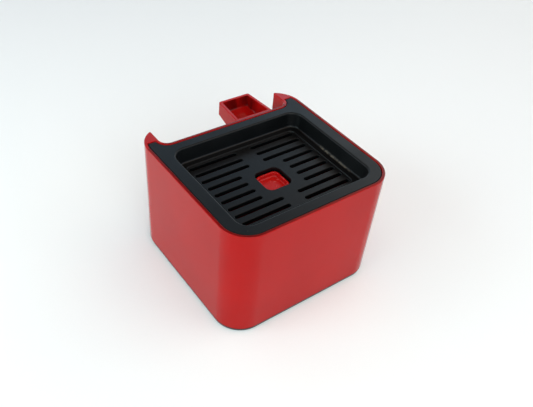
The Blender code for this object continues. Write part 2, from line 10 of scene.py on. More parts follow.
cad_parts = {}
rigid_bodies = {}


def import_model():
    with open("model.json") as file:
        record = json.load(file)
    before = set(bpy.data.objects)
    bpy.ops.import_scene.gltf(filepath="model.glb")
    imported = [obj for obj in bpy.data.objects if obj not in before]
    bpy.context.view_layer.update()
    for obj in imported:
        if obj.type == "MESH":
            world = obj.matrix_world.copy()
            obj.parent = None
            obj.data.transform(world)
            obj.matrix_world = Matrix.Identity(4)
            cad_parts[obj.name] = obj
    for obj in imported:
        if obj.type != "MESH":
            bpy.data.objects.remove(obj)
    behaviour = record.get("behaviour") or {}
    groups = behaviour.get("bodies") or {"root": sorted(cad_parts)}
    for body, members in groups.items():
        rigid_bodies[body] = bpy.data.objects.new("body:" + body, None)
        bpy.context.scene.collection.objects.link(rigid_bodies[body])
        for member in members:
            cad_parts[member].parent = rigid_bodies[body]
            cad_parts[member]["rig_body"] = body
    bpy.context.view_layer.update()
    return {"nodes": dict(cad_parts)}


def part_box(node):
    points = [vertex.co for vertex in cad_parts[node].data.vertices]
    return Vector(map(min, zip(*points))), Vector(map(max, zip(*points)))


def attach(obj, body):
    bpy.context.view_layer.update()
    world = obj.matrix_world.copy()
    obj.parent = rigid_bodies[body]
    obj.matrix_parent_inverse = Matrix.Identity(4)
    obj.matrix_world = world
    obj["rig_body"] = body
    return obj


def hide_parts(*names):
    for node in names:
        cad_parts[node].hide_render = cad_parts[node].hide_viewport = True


for default in list(bpy.data.objects):
    bpy.data.objects.remove(default, do_unlink=True)
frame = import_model()

MM = 0.001
GAP = 0.3 * MM  # clearance between neighbouring pieces

# Shell, a rounded square in plan with two ears at the back
SHELL_LOW, SHELL_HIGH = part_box("shell")
HALF_WIDTH = SHELL_HIGH.x
FRONT_Y = SHELL_LOW.y
RIM_Z = SHELL_HIGH.z
SHELL_FOOT_Z = SHELL_LOW.z
EARS_Y = FRONT_Y + 118 * MM
REAR_WALL_Y = FRONT_Y + 99.2 * MM
CORNER_RADIUS = 18.5 * MM
EAR_INNER_X = 49.3 * MM
EAR_TIP_RADIUS = 0.8 * MM
EAR_CORE_INSET = 3.2 * MM  # the ears' hollow cores start this far inside the shell's plan
NOTCH_FILLET = 6 * MM
WALL = 1.9 * MM
FOOT_SCALE = 0.989  # plan size at the foot over plan size at the rim
SCALE_CENTRE_Y = (FRONT_Y + EARS_Y) / 2
RIM_ROUND = 0.6 * MM
RIM_INNER_ROUND = 0.3 * MM
FOOT_ROUND = 0.8 * MM
SKIRT_TOP_Z = 6.3 * MM
FLOOR_TOP_Z = 8.8 * MM
FLOOR_FILLET = 1.5 * MM
LEDGE_Z = 79.1 * MM
LEDGE_WIDTH = 2.6 * MM
LEDGE_DEPTH = 1.8 * MM
CAVITY_REAR_RADIUS = 6 * MM
EAR_POCKET_Y = REAR_WALL_Y + 6 * MM
POST_RADIUS = 4 * MM
POST_TOP_Z = 18 * MM
POST_ROUND = 0.6 * MM
PILOT_CAP = 2 * MM  # solid top over each pilot hole
# height of the painted contact shadow along the shell's foot
FOOT_SHADOW_HEIGHT = 1 * MM

# Cup grid
GRID_TOP_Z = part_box("cup_grid")[1].z
GRID_GAP = 0.5 * MM  # the open line round the grid
MARGIN_THICKNESS = 2.7 * MM
MARGIN_ROUND = 0.45 * MM
BASIN_HALF_X = 49.6 * MM
BASIN_FRONT_Y = FRONT_Y + 9.3 * MM
BASIN_BACK_Y = FRONT_Y + 90.3 * MM
BASIN_RADIUS = 9 * MM
BASIN_DRAFT = 2 * MM
BASIN_LIP = 1.2 * MM
BASIN_FOOT_FILLET = 1.4 * MM
BASIN_SKIN = 2 * MM
LEDGE_LINE_Z = RIM_Z - 10.6 * MM
PANEL_Z = RIM_Z - 11.3 * MM
PANEL_HALF_X = 42.7 * MM
PANEL_MARGIN_Y = 2.9 * MM
PANEL_RADIUS = 3.5 * MM
PANEL_ROUND = 0.35 * MM
GRID_FLOOR = 2.5 * MM
TUB_ROUND = 1 * MM
SLOT_ROWS = 9
SLOT_PITCH = 7.35 * MM
SLOT_WIDTH = 2.8 * MM
SLOT_OUTER_X = 41.2 * MM
SLOT_INNER_X = 5.6 * MM
SLOT_SHORT_INNER_X = 16.4 * MM
SLOT_ROUND = 0.3 * MM
SHORT_ROWS = (3, 4, 5, 6)
FIRST_ROW_Y = FRONT_Y + 80.9 * MM
LAST_ROW_Y = FIRST_ROW_Y - (SLOT_ROWS - 1) * SLOT_PITCH
HOLE_HALF = 9.5 * MM
HOLE_RADIUS = 4.4 * MM
HOLE_Y = FIRST_ROW_Y - 4.5 * SLOT_PITCH

# Level float and its cage
FLOAT_LOW_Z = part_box("level_float")[0].z
FLOAT_TOP_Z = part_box("level_float")[1].z
FLOAT_HALF = 8.7 * MM
FLOAT_RADIUS = 3.8 * MM
FLOAT_ROUND = 0.6 * MM
FLOAT_FLANGE = 1.1 * MM
FLOAT_FLANGE_HEIGHT = 1.5 * MM
FLOAT_RECESS = 3 * MM
FLOAT_RIM = 1.4 * MM
FLANGE_ROUND = 0.2 * MM
DISH_FILLET = 1 * MM
DISH_ROUND = 0.4 * MM
CAGE_LOW_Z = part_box("float_cage")[0].z
CAGE_HIGH_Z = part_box("float_cage")[1].z
CAGE_HALF = 10.2 * MM
CAGE_WALL = 1.6 * MM
CAGE_LIP = 2.6 * MM
CAGE_LIP_HEIGHT = 1.5 * MM
CAGE_WINDOW = 8 * MM
CAGE_SILL = 1 * MM  # solid band over the lip, below each window
CAGE_HEAD = 3 * MM  # solid band over each window
CAGE_ROUND = 0.3 * MM

# Rear trough
TROUGH_X = 22.6 * MM
TROUGH_TOP_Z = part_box("rear_trough")[1].z
TROUGH_END_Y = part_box("rear_trough")[1].y
TROUGH_WALL = 2.1 * MM
TROUGH_FRONT_WALL = 1.8 * MM
TROUGH_HALF_AT_END = 12.8 * MM
TROUGH_HALF_AT_SHELL = 14.9 * MM
TROUGH_UNDER_Z_AT_END = 70.2 * MM
TROUGH_UNDER_Z_AT_SHELL = 65.4 * MM
TROUGH_CORNER = 1.6 * MM
TROUGH_RIM_ROUND = 0.45 * MM
TROUGH_UNDER_ROUND = 1 * MM
CHANNEL_CORNER = 1.2 * MM
CHANNEL_FILLET = 1 * MM
NECK_HALF_X = 10 * MM
NECK_TOP_Z = 75 * MM
NECK_UNDER_Z = 66.2 * MM
NECK_WALL = 1.6 * MM
NECK_INNER_Y = REAR_WALL_Y - 4.2 * MM
SEAL_THICKNESS = 1 * MM
SEAL_WIDTH = 1.2 * MM
SEAL_CORNER = 0.6 * MM
SEAL_ROUND = 0.15 * MM
TROUGH_FRONT_Y = REAR_WALL_Y + 2 * GAP + SEAL_THICKNESS

# Base plate, feet and screws
PLATE_UNDER_Z = 0.5 * MM
PLATE_TOP_Z = SKIRT_TOP_Z - GAP
PLATE_FLANGE_Z = SHELL_FOOT_Z - GAP
PLATE_INSET = 0.5 * MM
PLATE_ROUND = 0.25 * MM
FOOT_RADIUS = 7 * MM
FOOT_HEIGHT = 3 * MM
FOOT_X = 40 * MM
FOOT_EDGE_Y = 21 * MM
FOOT_LOWER_ROUND = 0.6 * MM
FOOT_UPPER_ROUND = 0.2 * MM
FOOT_DIMPLE = 0.25 * MM
SCREW_X = 24 * MM
SCREW_EDGE_Y = 12 * MM
SCREW_HEAD_RADIUS = 3 * MM
SCREW_HEAD_HEIGHT = 1.8 * MM
SCREW_SHANK_RADIUS = 1.4 * MM
SCREW_LENGTH = 12 * MM
SCREW_RECESS_Z = 1.2 * MM

OVERCUT = 5 * MM
CORNER_STEPS = 28
SMALL_STEPS = 10
ROUND_STEPS = 5
SHARP_ANGLE = math.radians(32)

# Colours, linear
RED_DEEP = (0.340, 0.0030, 0.0026, 1)
RED_BRIGHT = (0.375, 0.0040, 0.0034, 1)
# painted shade colour for the inside of the tray and the walls of the trough's channel
RED_PAINTED_SHADE = (0.035, 0.0012, 0.0012, 1)
# painted shade colour for the rim beside the grid
RIM_SHADE_RED = (0.02, 0.006, 0.006, 1)
# painted contact shadow colour along the shell's foot
FOOT_SHADOW_COLOUR = (0.02, 0.012, 0.011, 1)
PALE_DUST = (0.6, 0.5, 0.46, 1)
FLOAT_DEEP = (0.41, 0.004, 0.003, 1)
FLOAT_BRIGHT = (0.45, 0.006, 0.005, 1)
LIME_FILM = (0.75, 0.62, 0.55, 1)
BLACK_DEEP = (0.0015, 0.0017, 0.0019, 1)
BLACK_BRIGHT = (0.0024, 0.0026, 0.0028, 1)
DRIED_CRUD = (0.16, 0.13, 0.095, 1)
GREY_DEEP = (0.030, 0.027, 0.027, 1)
GREY_BRIGHT = (0.042, 0.038, 0.037, 1)
GREY_SCRATCH = (0.12, 0.11, 0.105, 1)
RUBBER_DEEP = (0.010, 0.010, 0.010, 1)
RUBBER_BRIGHT = (0.028, 0.027, 0.025, 1)
LINT = (0.2, 0.19, 0.17, 1)
STEEL_BRIGHT = (0.62, 0.60, 0.57, 1)
STEEL_DULL = (0.42, 0.40, 0.38, 1)
PAPER_DEEP = (0.885, 0.872, 0.850, 1)
PAPER_BRIGHT = (0.925, 0.912, 0.890, 1)

# Camera
CAMERA_AIM = Vector((-0.00511, -0.01807, 0.05400))
CAMERA_AZIMUTH = math.radians(-40.080)
CAMERA_ELEVATION = math.radians(40.831)
CAMERA_ROLL = math.radians(6.121)
CAMERA_DISTANCE = 0.40218
CAMERA_LENS = 42.375  # millimetres, on a sensor 36 wide

# Room: (elevation in degrees, colour), and its brightness
ROOM_BANDS = (
    (0, (0.94, 0.98, 1.0)),
    (2, (0.94, 0.98, 1.0)),
    (14, (0.02, 0.03, 0.04)),
    (24, (0.30, 0.58, 0.78)),
    (33, (0.68, 0.80, 0.95)),
    (39, (0.03, 0.02, 0.02)),
    (75, (0.03, 0.02, 0.02)),
)
ROOM_STRENGTH = 2.2

# Lights: name, azimuth, elevation, watts, colour
LIGHTS = (
    ("key", -20, 30, 4.0, (0.92, 1.0, 0.98)),
    ("left", -100, 25, 4.4, (0.80, 1.0, 1.0)),
    ("top", -39, 75, 2.0, (1.0, 1.0, 0.85)),
    ("right", 50, 55, 2.8, (1.0, 0.82, 0.72)),
    ("back", 110, 30, 1.2, (1.0, 0.85, 0.65)),
    ("back_left", -150, 40, 0.9, (1.0, 0.5, 0.3)),
)
LIGHT_DISTANCE = 1.0
LIGHT_SIZE = 0.7
LIGHT_AIM = Vector((0, 0, 0.04))


# Outlines


def arc(centre_x, centre_y, radius, start, end, steps):
    """Points of an arc; the angles are in degrees, and the two end points are included."""
    angles = [math.radians(start + (end - start) * i / steps) for i in range(steps + 1)]
    return [(centre_x + radius * math.cos(a), centre_y + radius * math.sin(a)) for a in angles]


def rounded_rectangle(left, right, front, back, radius, steps=SMALL_STEPS):
    points = arc(left + radius, front + radius, radius, 180, 270, steps)
    points += arc(right - radius, front + radius, radius, 270, 360, steps)
    points += arc(right - radius, back - radius, radius, 0, 90, steps)
    points += arc(left + radius, back - radius, radius, 90, 180, steps)
    return points


def mirrored(half):
    """Closes a right half outline, which runs from the front to the back, with its left half."""
    return half + [(-x, y) for x, y in reversed(half)]


def ear_tip(inset):
    """The small round at the ear's tip, and the angle where the ear's big round corner meets it."""
    centre_x = HALF_WIDTH - CORNER_RADIUS
    centre_y = EARS_Y - CORNER_RADIUS
    radius = max(EAR_TIP_RADIUS - inset, 0.2 * MM)
    tip_x = EAR_INNER_X + inset + radius
    reach = CORNER_RADIUS - inset - radius
    tip_y = centre_y + math.sqrt(reach**2 - (tip_x - centre_x) ** 2)
    meeting = math.degrees(math.atan2(tip_y - centre_y, tip_x - centre_x))
    return arc(tip_x, tip_y, radius, meeting, 180, SMALL_STEPS), meeting


def shell_outline(inset):
    """The plan of the shell: front corners, round ears cut off by the notch, and the rear wall."""
    radius = CORNER_RADIUS - inset
    centre_x = HALF_WIDTH - CORNER_RADIUS
    fillet = NOTCH_FILLET + inset
    tip, tip_angle = ear_tip(inset)
    half = arc(centre_x, FRONT_Y + CORNER_RADIUS, radius, 270, 360, CORNER_STEPS)
    half += arc(centre_x, EARS_Y - CORNER_RADIUS, radius, 0, tip_angle, CORNER_STEPS)
    half += tip
    fillet_x = EAR_INNER_X + inset - fillet
    half += arc(fillet_x, REAR_WALL_Y - inset + fillet, fillet, 0, -90, SMALL_STEPS)
    return mirrored(half)


def grid_outline(inset):
    """The plan of the cup grid: the shell's, with the ears cut off square at the pocket's end."""
    radius = CORNER_RADIUS - inset
    centre_x = HALF_WIDTH - CORNER_RADIUS
    centre_y = EARS_Y - CORNER_RADIUS
    pocket_y = EAR_POCKET_Y + WALL - inset
    pocket_angle = math.degrees(math.asin((pocket_y - centre_y) / radius))
    fillet = NOTCH_FILLET + inset
    rear_y = REAR_WALL_Y - inset
    fillet_x = EAR_INNER_X + inset - fillet
    notch_angle = math.degrees(math.asin((pocket_y - rear_y - fillet) / fillet))
    half = arc(centre_x, FRONT_Y + CORNER_RADIUS, radius, 270, 360, CORNER_STEPS)
    half += arc(centre_x, centre_y, radius, 0, pocket_angle, SMALL_STEPS)
    half += arc(fillet_x, rear_y + fillet, fillet, notch_angle, -90, SMALL_STEPS)
    return mirrored(half)


def cavity_outline(inset):
    """The plan inside the shell, below the grid."""
    centre_x = HALF_WIDTH - CORNER_RADIUS
    half_x = HALF_WIDTH - inset
    rear_y = REAR_WALL_Y - inset
    radius = CAVITY_REAR_RADIUS
    half = arc(centre_x, FRONT_Y + CORNER_RADIUS, CORNER_RADIUS - inset, 270, 360, CORNER_STEPS)
    half += arc(half_x - radius, rear_y - radius, radius, 0, 90, SMALL_STEPS)
    return mirrored(half)


def ear_core_outline(inset):
    """The hollow inside the right ear, behind the plane of the rear wall."""
    radius = CORNER_RADIUS - inset
    centre_x = HALF_WIDTH - CORNER_RADIUS
    centre_y = EARS_Y - CORNER_RADIUS
    inner_x = EAR_INNER_X + inset
    tip_angle = math.degrees(math.acos((inner_x - centre_x) / radius))
    front_y = REAR_WALL_Y + inset
    start_angle = math.degrees(math.asin((front_y - centre_y) / radius))
    return arc(centre_x, centre_y, radius, start_angle, tip_angle, SMALL_STEPS) + [(inner_x, front_y)]


def basin_outline(inset):
    half_x = BASIN_HALF_X - inset
    front = BASIN_FRONT_Y + inset
    back = BASIN_BACK_Y - inset
    return rounded_rectangle(-half_x, half_x, front, back, BASIN_RADIUS - inset, CORNER_STEPS)


def panel_outline(inset):
    half_x = PANEL_HALF_X - inset
    front = LAST_ROW_Y - PANEL_MARGIN_Y + inset
    back = FIRST_ROW_Y + PANEL_MARGIN_Y - inset
    return rounded_rectangle(-half_x, half_x, front, back, PANEL_RADIUS - inset)


def square_outline(half, radius, inset=0):
    """A rounded square round the middle of the hole."""
    side = half - inset
    return rounded_rectangle(-side, side, HOLE_Y - side, HOLE_Y + side, radius - inset)


def slot_outline(left, right, y, inset):
    """A slot with round ends, along X."""
    radius = SLOT_WIDTH / 2 - inset
    points = arc(right - SLOT_WIDTH / 2, y, radius, -90, 90, SMALL_STEPS)
    return points + arc(left + SLOT_WIDTH / 2, y, radius, 90, 270, SMALL_STEPS)


def trough_outline(inset, front_y, corner):
    """The trough's plan: it tapers towards its end, where its corners are round."""
    slope = (TROUGH_HALF_AT_SHELL - TROUGH_HALF_AT_END) / (TROUGH_END_Y - REAR_WALL_Y)
    back_y = TROUGH_END_Y - inset
    front_half = TROUGH_HALF_AT_SHELL - inset - slope * (front_y - REAR_WALL_Y)
    back_half = TROUGH_HALF_AT_END - inset
    right = arc(TROUGH_X + back_half - corner, back_y - corner, corner, 0, 90, SMALL_STEPS)
    left = arc(TROUGH_X - back_half + corner, back_y - corner, corner, 90, 180, SMALL_STEPS)
    return [(TROUGH_X - front_half, front_y), (TROUGH_X + front_half, front_y)] + right + left


def trough_under_z(y):
    share = (y - REAR_WALL_Y) / (TROUGH_END_Y - REAR_WALL_Y)
    return TROUGH_UNDER_Z_AT_SHELL + share * (TROUGH_UNDER_Z_AT_END - TROUGH_UNDER_Z_AT_SHELL)


# Profiles: (z, inset) pairs up an edge that is rounded


def foot_profile(low_z, radius, steps=ROUND_STEPS):
    """Rounds the lower edge of a solid, or fillets the foot of a hollow."""
    angles = [math.pi / 2 * i / steps for i in range(steps + 1)]
    return [(low_z + radius * (1 - math.cos(a)), radius * (1 - math.sin(a))) for a in angles]


def head_profile(high_z, radius, steps=ROUND_STEPS):
    """Rounds the upper edge of a solid."""
    angles = [math.pi / 2 * i / steps for i in range(steps + 1)]
    return [(high_z - radius * (1 - math.sin(a)), radius * (1 - math.cos(a))) for a in angles]


def flared(high_z, radius, steps=ROUND_STEPS):
    """The mouth of a hollow whose upper edge is rounded, carried on past the surface that it opens in."""
    mouth = [(z, -inset) for z, inset in head_profile(high_z, radius, steps)]
    return mouth + [(high_z + OVERCUT, -radius)]


def funnelled(low_z, radius, steps=ROUND_STEPS):
    """The lower mouth of a through hole whose edge is rounded, carried on below the surface."""
    return [(low_z - OVERCUT, -radius)] + [(z, -inset) for z, inset in foot_profile(low_z, radius, steps)]


# Solids


def drafted(outline, z):
    """Scales an outline of the shell to its size at height z: the walls lean in towards the foot."""
    share = (RIM_Z - z) / (RIM_Z - SHELL_FOOT_Z)
    scale = 1 - (1 - FOOT_SCALE) * share
    return [(x * scale, SCALE_CENTRE_Y + (y - SCALE_CENTRE_Y) * scale) for x, y in outline]


def loft(rings):
    """A closed solid through rings of points, bottom first; every ring has as many points."""
    builder = bmesh.new()
    loops = [[builder.verts.new(point) for point in ring] for ring in rings]
    for lower, upper in zip(loops, loops[1:]):
        for i in range(len(lower)):
            j = (i + 1) % len(lower)
            builder.faces.new((lower[i], lower[j], upper[j], upper[i]))
    builder.faces.new(list(reversed(loops[0])))
    builder.faces.new(loops[-1])
    return builder


def stack(profile, outline):
    """A solid over a profile of (z, inset), with outline(inset) at each height."""
    return loft([[(x, y, z) for x, y in outline(inset)] for z, inset in profile])


def drafted_stack(profile, outline):
    """The same, with walls that lean in as the shell's do."""
    return loft([[(x, y, z) for x, y in drafted(outline(inset), z)] for z, inset in profile])


def box(left, right, front, back, low_z, high_z):
    corners = [(left, front), (right, front), (right, back), (left, back)]
    return loft([[(x, y, z) for x, y in corners] for z in (low_z, high_z)])


def ring_profile(centre_x, centre_y, profile, steps=48):
    """A round solid over a profile of (z, radius)."""
    last = 360 - 360 / steps
    return loft([
        [(x, y, z) for x, y in arc(centre_x, centre_y, radius, 0, last, steps - 1)] for z, radius in profile
    ])


def cylinder(centre_x, centre_y, radius, low_z, high_z, steps=48):
    return ring_profile(centre_x, centre_y, [(low_z, radius), (high_z, radius)], steps)


def joined(builders):
    """Several separate solids as one."""
    whole = bmesh.new()
    for builder in builders:
        part = bpy.data.meshes.new("part")
        builder.to_mesh(part)
        builder.free()
        whole.from_mesh(part)
        bpy.data.meshes.remove(part)
    return whole


def mesh_object(name, builder):
    bmesh.ops.recalc_face_normals(builder, faces=builder.faces)
    mesh = bpy.data.meshes.new(name)
    builder.to_mesh(mesh)
    builder.free()
    made = bpy.data.objects.new(name, mesh)
    bpy.context.scene.collection.objects.link(made)
    return made


def piece(name, node, material, builder, *changes):
    """Makes the piece that stands for a CAD node: a solid, then (operation, solid) changes in order."""
    made = mesh_object(name, builder)
    tools = []
    for operation, tool_builder in changes:
        tool = mesh_object("tool", tool_builder)
        tools.append(tool)
        modifier = made.modifiers.new("cut", "BOOLEAN")
        modifier.operation = operation
        modifier.solver = "EXACT"
        modifier.object = tool
    depsgraph = bpy.context.evaluated_depsgraph_get()
    shaped = bpy.data.meshes.new_from_object(made.evaluated_get(depsgraph))
    made.modifiers.clear()
    made.data = shaped
    for tool in tools:
        bpy.data.objects.remove(tool, do_unlink=True)
    shaped.materials.clear()
    shaped.materials.append(material)
    shaped.shade_smooth()
    shaped.set_sharp_from_angle(angle=SHARP_ANGLE)
    normals = made.modifiers.new("weighted normals", "WEIGHTED_NORMAL")
    normals.keep_sharp = True
    normals.weight = 100
    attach(made, frame["nodes"][node]["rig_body"])
    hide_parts(node)
    return made


# Materials


def new_material(name):
    material = bpy.data.materials.new(name)
    material.use_nodes = True
    return material, material.node_tree, material.node_tree.nodes["Principled BSDF"]


def node(tree, kind, settings=(), **inputs):
    """Adds a node; settings are its properties, and inputs are values or sockets by input name."""
    made = tree.nodes.new(kind)
    for name, value in dict(settings).items():
        setattr(made, name, value)
    for name, value in inputs.items():
        socket = made.inputs[int(name[1:])] if name[0] == "i" and name[1:].isdigit() else made.inputs[name]
        if isinstance(value, bpy.types.NodeSocket):
            tree.links.new(value, socket)
        else:
            socket.default_value = value
    return made


def math_node(tree, operation, first, second=0.0, clamp=False):
    settings = {"operation": operation, "use_clamp": clamp}
    return node(tree, "ShaderNodeMath", settings, i0=first, i1=second).outputs[0]


def product(tree, first, *others):
    for other in others:
        first = math_node(tree, "MULTIPLY", first, other)
    return first


def span(tree, value, low, high, to_low=0.0, to_high=1.0):
    """Maps a value from low..high to to_low..to_high, smoothly and clamped."""
    made = node(
        tree,
        "ShaderNodeMapRange",
        {"interpolation_type": "SMOOTHSTEP"},
        Value=value,
    )
    for name, number in (("From Min", low), ("From Max", high), ("To Min", to_low), ("To Max", to_high)):
        made.inputs[name].default_value = number
    return made.outputs[0]


def place(tree, scale=(1, 1, 1)):
    """Coordinates on the piece in metres, stretched by scale."""
    coordinates = node(tree, "ShaderNodeTexCoord").outputs["Object"]
    return node(tree, "ShaderNodeMapping", Vector=coordinates, Scale=scale).outputs[0]


def noise(tree, vector, scale, detail=3.0, roughness=0.5):
    made = node(tree, "ShaderNodeTexNoise", Vector=vector, Scale=scale, Detail=detail, Roughness=roughness)
    return made.outputs["Factor"] if "Factor" in made.outputs else made.outputs["Fac"]


def mixed(tree, factor, first, second):
    made = node(tree, "ShaderNodeMix", {"data_type": "RGBA"})
    for index, value in ((0, factor), (6, first), (7, second)):
        if isinstance(value, bpy.types.NodeSocket):
            tree.links.new(value, made.inputs[index])
        else:
            made.inputs[index].default_value = value
    return made.outputs[2]


def bumped(tree, layers):
    """Stacks bumps; layers are (height, depth in metres)."""
    normal = None
    for height, depth in layers:
        bump = node(tree, "ShaderNodeBump", Height=height, Distance=depth, Strength=1.0)
        if normal:
            tree.links.new(normal, bump.inputs["Normal"])
        normal = bump.outputs[0]
    return normal


def scratches(tree, direction, scale, share):
    """Hair scratches: noise stretched along a direction, cut to thin lines; 1 on a line."""
    long_way = place(tree, direction)
    lines = noise(tree, long_way, scale, 2.0, 0.4)
    line = math_node(tree, "ABSOLUTE", math_node(tree, "SUBTRACT", lines, 0.5))
    thin = span(tree, line, 0.0, 0.006, 1.0, 0.0)
    patches = span(tree, noise(tree, place(tree), 60.0, 2.0), 1 - share, 1 - share + 0.12)
    return math_node(tree, "MULTIPLY", thin, patches)


def specks(tree, scale, share):
    """Small round specks; 1 on a speck, with share the part of the cells that hold one."""
    cells = node(tree, "ShaderNodeTexVoronoi", Vector=place(tree), Scale=scale)
    dot = span(tree, cells.outputs["Distance"], 0.05, 0.16, 1.0, 0.0)
    chosen = node(tree, "ShaderNodeSeparateColor", Color=cells.outputs["Color"]).outputs[0]
    return math_node(tree, "MULTIPLY", dot, math_node(tree, "LESS_THAN", chosen, share))


def facing_up(tree):
    """1 where the surface faces up."""
    normal = node(tree, "ShaderNodeNewGeometry").outputs["Normal"]
    up = node(tree, "ShaderNodeSeparateXYZ", Vector=normal).outputs[2]
    return span(tree, up, 0.75, 0.97)


def inside(tree, value, low, high, soft=0.0004):
    """1 between low and high."""
    return product(tree, span(tree, value, low - soft, low), span(tree, value, high, high + soft, 1.0, 0.0))


def tray_and_channel_shade(tree):
    """Painted shade all over inside the tray below the grid, and in streaks up the walls of the trough's
    channel.
    """
    x, y, z = node(tree, "ShaderNodeSeparateXYZ", Vector=place(tree)).outputs
    flat = {"operation": "MULTIPLY"}
    outward = node(tree, "ShaderNodeVectorMath", flat, i0=place(tree), i1=(1, 1, 0)).outputs[0]
    normal = node(tree, "ShaderNodeNewGeometry").outputs["Normal"]
    dot = {"operation": "DOT_PRODUCT"}
    leaning = node(tree, "ShaderNodeVectorMath", dot, i0=outward, i1=normal).outputs["Value"]
    inner = math_node(tree, "MAXIMUM", span(tree, leaning, -2 * MM, 0, 1.0, 0.0), facing_up(tree))
    tray = product(tree, inner, inside(tree, y, FRONT_Y, REAR_WALL_Y - WALL / 2))
    tray = product(tree, tray, inside(tree, z, FLOOR_TOP_Z - MM, LEDGE_Z))
    half = TROUGH_HALF_AT_END - TROUGH_WALL + CHANNEL_CORNER / 2
    back_y = TROUGH_END_Y - TROUGH_WALL + CHANNEL_CORNER / 2
    channel = inside(tree, x, TROUGH_X - half, TROUGH_X + half)
    channel = product(tree, channel, inside(tree, y, TROUGH_FRONT_Y, back_y))
    low_z = TROUGH_UNDER_Z_AT_SHELL + TROUGH_WALL
    channel = product(tree, channel, inside(tree, z, low_z, TROUGH_TOP_Z - TROUGH_RIM_ROUND))
    wall = math_node(tree, "SUBTRACT", 1.0, facing_up(tree))
    streaks = span(tree, noise(tree, place(tree, (1, 1, 0.25)), 190.0, 4.0, 0.6), 0.3, 0.65, 0.25, 0.80)
    channel = product(tree, channel, wall, streaks)
    return math_node(tree, "MAXIMUM", product(tree, tray, 0.9), channel)


def rim_painted_shade(tree):
    """Painted shade in patches on the shell's rim, next to the gap round the grid; the ears' tops are left
    out.
    """
    y, z = node(tree, "ShaderNodeSeparateXYZ", Vector=place(tree)).outputs[1:]
    high = span(tree, z, RIM_Z - 1.5 * RIM_ROUND, RIM_Z - 0.6 * RIM_ROUND)
    before_ears = span(tree, y, REAR_WALL_Y, REAR_WALL_Y + 2 * MM, 1.0, 0.0)
    patches = span(tree, noise(tree, place(tree), 55.0, 3.0), 0.25, 0.55, 0.7, 1.0)
    return product(tree, high, facing_up(tree), before_ears, patches)


def foot_painted_shadow(tree):
    """Painted shadow: a dark line round the lowest edge of the shell, where it meets the floor."""
    z = node(tree, "ShaderNodeSeparateXYZ", Vector=place(tree)).outputs[2]
    low = SHELL_FOOT_Z + FOOT_SHADOW_HEIGHT / 2
    return span(tree, z, low, low + FOOT_SHADOW_HEIGHT, 1.0, 0.0)


def gloss_red():
    material, tree, shader = new_material("gloss_red_plastic")
    cloud = span(tree, noise(tree, place(tree), 22.0, 4.0), 0.3, 0.7)
    colour = mixed(tree, cloud, RED_DEEP, RED_BRIGHT)
    # painted shade inside the tray and up the trough channel's walls
    colour = mixed(tree, tray_and_channel_shade(tree), colour, RED_PAINTED_SHADE)
    # painted shade on the rim next to the grid
    colour = mixed(tree, product(tree, rim_painted_shade(tree), 0.62), colour, RIM_SHADE_RED)
    # painted contact shadow along the foot of the walls
    colour = mixed(tree, product(tree, foot_painted_shadow(tree), 0.85), colour, FOOT_SHADOW_COLOUR)
    dust = math_node(tree, "MULTIPLY", specks(tree, 420.0, 0.05), facing_up(tree))
    colour = mixed(tree, product(tree, dust, 0.5), colour, PALE_DUST)
    tree.links.new(colour, shader.inputs["Base Color"])
    smudge = span(tree, noise(tree, place(tree, (1, 1, 0.6)), 45.0, 5.0, 0.6), 0.42, 0.72, 0.0, 0.10)
    hairs = scratches(tree, (30, 30, 900), 2.0, 0.42)
    more_hairs = scratches(tree, (500, 700, 40), 2.0, 0.36)
    hairs = math_node(tree, "MAXIMUM", hairs, more_hairs)
    roughness = math_node(tree, "ADD", smudge, 0.085)
    roughness = math_node(tree, "ADD", roughness, math_node(tree, "MULTIPLY", hairs, 0.12))
    roughness = math_node(tree, "ADD", roughness, math_node(tree, "MULTIPLY", dust, 0.4), True)
    tree.links.new(roughness, shader.inputs["Roughness"])
    waves = noise(tree, place(tree), 28.0, 1.0)
    peel = noise(tree, place(tree), 900.0, 2.0)
    normal = bumped(tree, [(waves, 0.00025), (peel, 0.000004), (hairs, -0.000006), (dust, 0.00003)])
    tree.links.new(normal, shader.inputs["Normal"])
    shader.inputs["IOR"].default_value = 1.25
    return material


def float_red():
    material, tree, shader = new_material("bright_red_plastic")
    cloud = span(tree, noise(tree, place(tree), 90.0, 4.0), 0.3, 0.7)
    colour = mixed(tree, cloud, FLOAT_DEEP, FLOAT_BRIGHT)
    scale_film = span(tree, noise(tree, place(tree), 260.0, 5.0, 0.65), 0.58, 0.75)
    film = math_node(tree, "MULTIPLY", scale_film, math_node(tree, "MULTIPLY", facing_up(tree), 0.12))
    tree.links.new(mixed(tree, film, colour, LIME_FILM), shader.inputs["Base Color"])
    tree.links.new(span(tree, scale_film, 0.0, 1.0, 0.24, 0.45), shader.inputs["Roughness"])
    tree.links.new(bumped(tree, [(noise(tree, place(tree), 700.0, 3.0), 0.00002)]), shader.inputs["Normal"])
    shader.inputs["IOR"].default_value = 1.33
    return material


